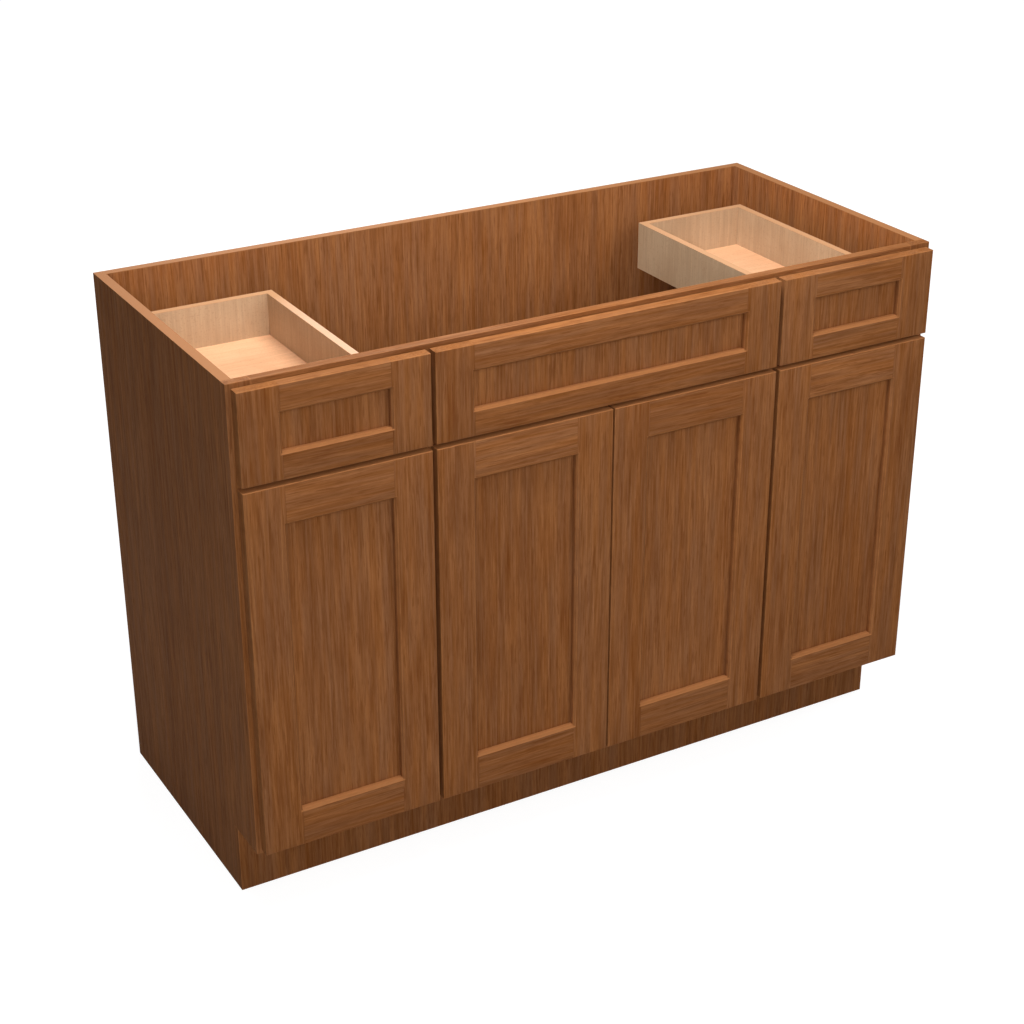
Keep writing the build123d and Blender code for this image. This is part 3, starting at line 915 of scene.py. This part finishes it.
# %% Growing a piece
def grow_piece(name, tree, values, body, replaced, seed=None):
    """A plain mesh grown by a node tree; it rides on a body and stands for its nodes."""
    holder = in_scene(name + "_holder", seed or bpy.data.meshes.new(name + "_seed"))
    modifier = holder.modifiers.new("grow", "NODES")
    modifier.node_group = tree
    sockets = [item for item in tree.interface.items_tree if item.item_type == "SOCKET"]
    known = {item.name: item.identifier for item in sockets if item.in_out == "INPUT"}
    for label, value in values.items():
        modifier[known[label]] = value
    graph = bpy.context.evaluated_depsgraph_get()
    mesh = bpy.data.meshes.new_from_object(holder.evaluated_get(graph))
    holder.modifiers.remove(modifier)
    bpy.data.objects.remove(holder)
    piece = in_scene(name, mesh)
    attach(piece, body)
    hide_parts(*replaced)
    return piece


def solids_of(node):
    """The separate solids of a CAD node, each as a list of points."""
    shape = bmesh.new()
    shape.from_mesh(nodes[node].data)
    bmesh.ops.remove_doubles(shape, verts=shape.verts, dist=1e-6)
    solids, seen = [], set()
    for start in shape.verts:
        if start in seen:
            continue
        seen.add(start)
        queue, found = [start], []
        while queue:
            point = queue.pop()
            found.append(point.co.copy())
            for edge in point.link_edges:
                other = edge.other_vert(point)
                if other not in seen:
                    seen.add(other)
                    queue.append(other)
        solids.append(found)
    shape.free()
    return solids


def extent(points):
    """The lowest and highest corners of some points."""
    return [Vector([pick(along) for along in zip(*points)]) for pick in (min, max)]


print("bumpers in the frame:", len(solids_of("bumpers")))

# %% [markdown]
# The finish of a front reads the three painted masks. The number of a board shifts the grain
# and says which way it runs: rails lie across, so 3 and 4 turn it. Corners and joints are
# darker, partly a glaze and partly painted shade. Arrises are rubbed lighter, and the edge faces
# of a front too, partly wear and partly painted light. Level faces below the top of the cabinet,
# the ledges of the panels and the tops of the doors, get a painted highlight, so they stay
# readable in the gaps where they lie in shade.

# %% Front finish
glaze_and_shade_share = 0.20
painted_ledge_light_share = 0.90
painted_ledge_tilt = (0.55, 0.85)
painted_ledge_margin = 0.005
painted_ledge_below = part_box("drawer_left_front_stiles")[1].z - painted_ledge_margin
rail_middle, rail_reach = 3.5, 0.6


def front_finish(name):
    """Stained wood that follows the boards of a five-piece front."""
    material, tree, place = new_material("stained_" + name)
    masks = {}
    for label in ("board", "arris", "corner"):
        masks[label] = out(tree, "ShaderNodeAttribute", output="Fac", attribute_name=label)
    board = calc("ROUND", masks["board"])
    kind = calc("FLOORED_MODULO", board, front_step)
    is_rail = calc("COMPARE", kind, rail_middle, rail_reach)
    ways = {0: is_rail, 4: turned(place, "z"), 5: turned(place, "x")}
    along = out(tree, "ShaderNodeMix", ways, 1, data_type="VECTOR")
    upward = split(out(tree, "ShaderNodeTexCoord", output="Normal"))[2]
    # Painted highlight: faces that point up, below the top of the cabinet, are painted lighter in
    # place of the light that the gaps shade off.
    painted_ledge_light = remap(upward, *painted_ledge_tilt) * (split(place)[2] < painted_ledge_below) * painted_ledge_light_share
    # Corners and joints darker: partly glaze, partly painted shade.
    glaze_and_shade = masks["corner"] * glaze_and_shade_share
    stained_shader(place, along, board, masks["arris"], glaze_and_shade, painted_ledge_light=painted_ledge_light)
    return material


front_wood = front_finish("front_wood")
print("front finish ready")

# %% [markdown]
# Everything a front needs is measured from its CAD nodes: the outside from the stiles, the
# sight opening from the panel less the tongue that sits in its groove, the depths from the
# panel's faces. Only the small sizes that the eye reads as the profile are named here.

# %% Seven fronts
front_bevel = 0.0034
front_ease = 0.0012
panel_tongue = 0.005
cup_radius = 0.0175
cup_depth = 0.0115
no_bores = {"Drilled": False, "Cup Radius": 0.01, "Cup Depth": 0.01, "Cup Spread": 0.1}


def bores_for(side, rear):
    """Where a door's two hinge cups are let in, from the CAD cups."""
    deep = []
    for solid in solids_of("hinge_cups_" + side):
        low, high = extent(solid)
        if high[0] - low[0] > cup_radius and low[1] < rear - cup_depth / 2:
            seat = [point for point in solid if point[1] < rear - cup_depth / 2]
            deep.append(sum(extent(seat), Vector()) / 2)
    middle = sum(deep, Vector()) / len(deep)
    spread = max(place[2] for place in deep) - min(place[2] for place in deep)
    place = (middle[0], rear, middle[2])
    sizes = {"Drilled": True, "Cup Radius": cup_radius, "Cup Depth": cup_depth}
    return {**sizes, "Cup Spread": spread, "Cup Place": place}


def front_sizes(prefix, number):
    """The tree's inputs for one front, measured from its stiles, rails and panel."""
    low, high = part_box(prefix + "_stiles")
    panel_low, panel_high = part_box(prefix + "_panel")
    size, middle = high - low, (high + low) / 2
    sight = panel_high - panel_low - Vector((2 * panel_tongue, 0.0, 2 * panel_tongue))
    values = {"Width": size[0], "Height": size[2], "Thickness": size[1], "Centre": tuple(middle)}
    values.update({"Stile": (size[0] - sight[0]) / 2, "Rail": (size[2] - sight[2]) / 2})
    values.update({"Recess": panel_low[1] - low[1], "Back Recess": high[1] - panel_high[1]})
    values.update({"Bevel": front_bevel, "Ease": front_ease, "Number": float(number)})
    return {**values, "Finish": front_wood}


def make_front(prefix, number, body, side=None):
    """One five-piece front in place of its CAD nodes."""
    values = front_sizes(prefix, number)
    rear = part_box(prefix + "_stiles")[1][1]
    values.update(bores_for(side, rear) if side else no_bores)
    parts = [prefix + part for part in ("_stiles", "_rails", "_panel")]
    name, slot = prefix + "_five_piece", "stained_wood_upright"
    piece = grow_piece(name, front_tree, values, body, parts)
    print(prefix, [round(1000 * values[key], 1) for key in ("Width", "Height", "Stile", "Rail")])
    return piece


door_sides = ("left", "centre_left", "centre_right", "right")
fronts = [make_front("false_front", 1, "root")]
for number, side in enumerate(("left", "right"), 2):
    fronts.append(make_front(f"drawer_{side}_front", number, f"drawer_{side}"))
for number, side in enumerate(door_sides, 4):
    fronts.append(make_front(f"door_{side}", number, f"door_{side}", side))
print(len(fronts), "fronts,", sum(len(piece.data.polygons) for piece in fronts), "faces")

# %% [markdown]
# ## Screws and bumpers
# Small repeated parts are one shape and a list of places. The tree puts a head with a cross
# recess on every place, and a shank as long as that screw's own length. The turn of the cross
# comes from a fixed random seed.

# %% Screw tree
screw_angle = radians(25)
head_corners, shank_corners = 28, 12


def named_value(tree, name, kind):
    """A named attribute of the points."""
    inputs = {"Name": name}
    return out(tree, "GeometryNodeInputNamedAttribute", inputs, "Attribute", data_type=kind)


def facing(tree):
    """The turn that lays Z along each point's direction."""
    aim = {"Vector": named_value(tree, "direction", "FLOAT_VECTOR")}
    return out(tree, "FunctionNodeAlignRotationToVector", aim, axis="Z")


def on_points(points, shape, turn, scale=(1.0, 1.0, 1.0)):
    """A shape on every point, turned and scaled."""
    inputs = {"Points": points, "Instance": shape, "Rotation": turn, "Scale": scale}
    return out(points.tree, "GeometryNodeInstanceOnPoints", inputs)


def make_screw_tree():
    """Flat-head screws with a cross recess, one on every point."""
    sizes = ("Head Radius", "Shank Radius", "Head Depth")
    sizes += ("Recess Length", "Recess Width", "Recess Depth")
    others = {"Places": "geometry", "Seed": "int"}
    tree, given, made = new_shape("flat_head_screws", sizes, others)
    places, shank_radius = given["Places"], given["Shank Radius"]
    cone = {"Radius Top": shank_radius, "Radius Bottom": given["Head Radius"]}
    cone.update({"Vertices": head_corners, "Depth": given["Head Depth"]})
    head = out(tree, "GeometryNodeMeshCone", cone, "Mesh")
    depth = given["Recess Depth"] * 2.0
    bar = {"Size": vector_of(given["Recess Length"], given["Recess Width"], depth)}
    bar = out(tree, "GeometryNodeMeshCube", bar, "Mesh")
    head = cut(head, joined(bar, placed(bar, turn=(0.0, 0.0, pi / 2))))
    shank = {"Vertices": shank_corners, "Radius": shank_radius, "Depth": 1.0}
    shank = out(tree, "GeometryNodeMeshCylinder", shank, "Mesh")
    shank = placed(shank, move=(0.0, 0.0, 0.5))
    spin = {2: 0.0, 3: pi, "Seed": given["Seed"]}
    spin = out(tree, "FunctionNodeRandomValue", spin, 1, data_type="FLOAT")
    spin = {"Axis": (0.0, 0.0, 1.0), "Angle": spin}
    turn = {"Rotation": facing(tree)}
    turn["Rotate By"] = out(tree, "FunctionNodeAxisAngleToRotation", spin)
    turn = out(tree, "FunctionNodeRotateRotation", turn, rotation_space="LOCAL")
    reach = vector_of(1.0, 1.0, named_value(tree, "reach", "FLOAT"))
    screws = joined(on_points(places, head, turn), on_points(places, shank, turn, reach))
    finish_shape(screws, screw_angle, given, made)
    return tree


screw_tree = make_screw_tree()
print("screw tree of", len(screw_tree.nodes), "nodes")

# %% [markdown]
# The places are read from the frame: each CAD screw is a separate solid, its wide end is the
# head, and its long side is the direction. Every place is a loose point that carries its
# screw's direction and length.

# %% Screws in place
screw_sizes = {
    "Head Radius": 0.0030,
    "Shank Radius": 0.0015,
    "Head Depth": 0.0016,
    "Recess Length": 0.0034,
    "Recess Width": 0.0007,
    "Recess Depth": 0.0010,
    "Finish": screw_steel,
}


def screw_place(points):
    """A screw's head, direction and length, from the points of its solid."""
    low, high = extent(points)
    size, middle = high - low, (low + high) / 2
    axis = max(range(3), key=lambda index: size[index])
    across = [index for index in range(3) if index != axis]
    widest = max(points, key=lambda point: sum((point[i] - middle[i]) ** 2 for i in across))
    way = -1.0 if widest[axis] > middle[axis] else 1.0
    head, direction = middle.copy(), Vector()
    head[axis] = low[axis] if way > 0 else high[axis]
    direction[axis] = way
    return head, direction, size[axis]


def points_with(name, places, directions, reaches):
    """A mesh of loose points that carry a direction and a reach."""
    mesh = bpy.data.meshes.new(name)
    mesh.from_pydata([tuple(place) for place in places], [], [])
    along = mesh.attributes.new("direction", "FLOAT_VECTOR", "POINT")
    for point, direction in zip(along.data, directions):
        point.vector = direction
    far = mesh.attributes.new("reach", "FLOAT", "POINT")
    for point, reach in zip(far.data, reaches):
        point.value = reach
    return mesh


screw_nodes = {"carcass_screws": "root"}
screw_nodes.update({f"drawer_{side}_screws": f"drawer_{side}" for side in ("left", "right")})
for seed, (node, body) in enumerate(screw_nodes.items(), 11):
    found = [screw_place(points) for points in solids_of(node)]
    places = points_with(node + "_places", *zip(*found))
    values = {**screw_sizes, "Seed": seed}
    grow_piece(node + "_cross_head", screw_tree, values, body, [node], places)
    print(node, len(found), "screws")

# %% [markdown]
# The bumpers are clear soft dots on the back of the fronts' corners, there to quiet the doors.
# A real one is a low dome with a flat foot. A sphere does it: stretched, cut off at its
# middle and at the height of the dot, so that the sides bulge and the top stays a little flat.

# %% Bumpers
dot_angle = radians(40)
dome_stretch = 1.25


def make_bumper_tree():
    """Low domes, one on every point."""
    sizes = ("Radius", "Height")
    tree, given, made = new_shape("soft_dots", sizes, {"Places": "geometry"})
    ball = {"Segments": 24, "Rings": 16, "Radius": 1.0}
    ball = out(tree, "GeometryNodeMeshUVSphere", ball, "Mesh")
    x, y, z = split(out(tree, "GeometryNodeInputPosition"))
    rise = most(least(z * dome_stretch, 1.0), 0.0) * given["Height"]
    shaped = vector_of(x * given["Radius"], y * given["Radius"], rise)
    dot = out(tree, "GeometryNodeSetPosition", {"Geometry": ball, "Position": shaped})
    finish_shape(on_points(given["Places"], dot, facing(tree)), dot_angle, given, made)
    return tree


def dot_place(points):
    """The foot of a bumper on the back of a front, and its height."""
    low, high = extent(points)
    foot = (low + high) / 2
    foot[1] = high[1]
    return foot, Vector((0.0, -1.0, 0.0)), high[1] - low[1]


dots = [dot_place(points) for points in solids_of("bumpers")]
low, high = extent(solids_of("bumpers")[0])
dot_sizes = {"Radius": (high[0] - low[0]) / 2, "Height": dots[0][2], "Finish": soft_dot}
places = points_with("bumper_places", *zip(*dots))
bumper_tree = make_bumper_tree()
grow_piece("bumper_dots", bumper_tree, dot_sizes, "root", ["bumpers"], places)
print(len(dots), "bumpers,", round(1000 * dots[0][2], 2), "mm high")

# %% [markdown]
# ## The rest of the cabinet
# The plain boards keep their CAD shape and get their own finish, one material for each board,
# because the grain and the worn arrises follow that board's own corners. The sides, the back
# and the toe board are veneered with the grain upright. The top edges of the sides and the
# back are bare and lighter, as they were sawn after staining. Their inner faces are painted
# lighter than the outside, as painted light against the shade inside the cabinet.

# %% Boards of the carcass
def dress(node, material):
    """Gives a CAD node its finish."""
    for slot in nodes[node].material_slots:
        slot.material = material


upright_boards = ["side_panel_left", "side_panel_right", "back_panel", "toe_kick_board"]
upright_boards += ["frame_stile_left", "frame_stile_right"]
upright_boards += ["frame_mullion_left", "frame_mullion_right"]
level_boards = ["bottom_panel", "frame_top_rail", "frame_bottom_rail"]
level_boards += ["frame_mid_rail_" + part for part in ("left", "centre", "right")]
# Inner faces get painted light, see above.
inner_faces = {"side_panel_left": (0, 1.0), "side_panel_right": (0, -1.0), "back_panel": (1, -1.0)}
for seed, node in enumerate(upright_boards, 101):
    dress(node, stained_board(node, "z", seed, inner_faces.get(node)))
for seed, node in enumerate(level_boards, 121):
    dress(node, stained_board(node, "x", seed))
for seed, node in enumerate(("false_front_cleats", "bottom_support"), 141):
    dress(node, pale_board(node, "x", seed, softwood, softwood_dark, streak=0.22))
for seed, side in enumerate(("left", "right"), 151):
    box, floor = f"drawer_{side}_box", f"drawer_{side}_floor"
    dress(box, pale_board(box, "z", 4 * seed, maple_wall, maple_wall_dark, drawer_wall))
    dress(floor, pale_board(floor, "x", 4 * seed + 2, maple_floor, maple_floor_dark))
print(len(upright_boards) + len(level_boards), "stained boards")

# %% [markdown]
# The hardware keeps its CAD shape too, and each part takes one of the two recipes from above.

# %% Hardware
steel_nodes = [node for node in nodes if node.startswith("hinge_")]
nylon_nodes = ["track_brackets", "drawer_corner_guides"]
nylon_nodes += [f"drawer_{side}_rear_guide" for side in ("left", "right")]
for node in steel_nodes:
    dress(node, hinge_steel)
for node in nylon_nodes:
    dress(node, nylon)
dress("drawer_tracks", track_steel)
print(len(steel_nodes), "hinge nodes and", len(nylon_nodes), "nylon nodes dressed")
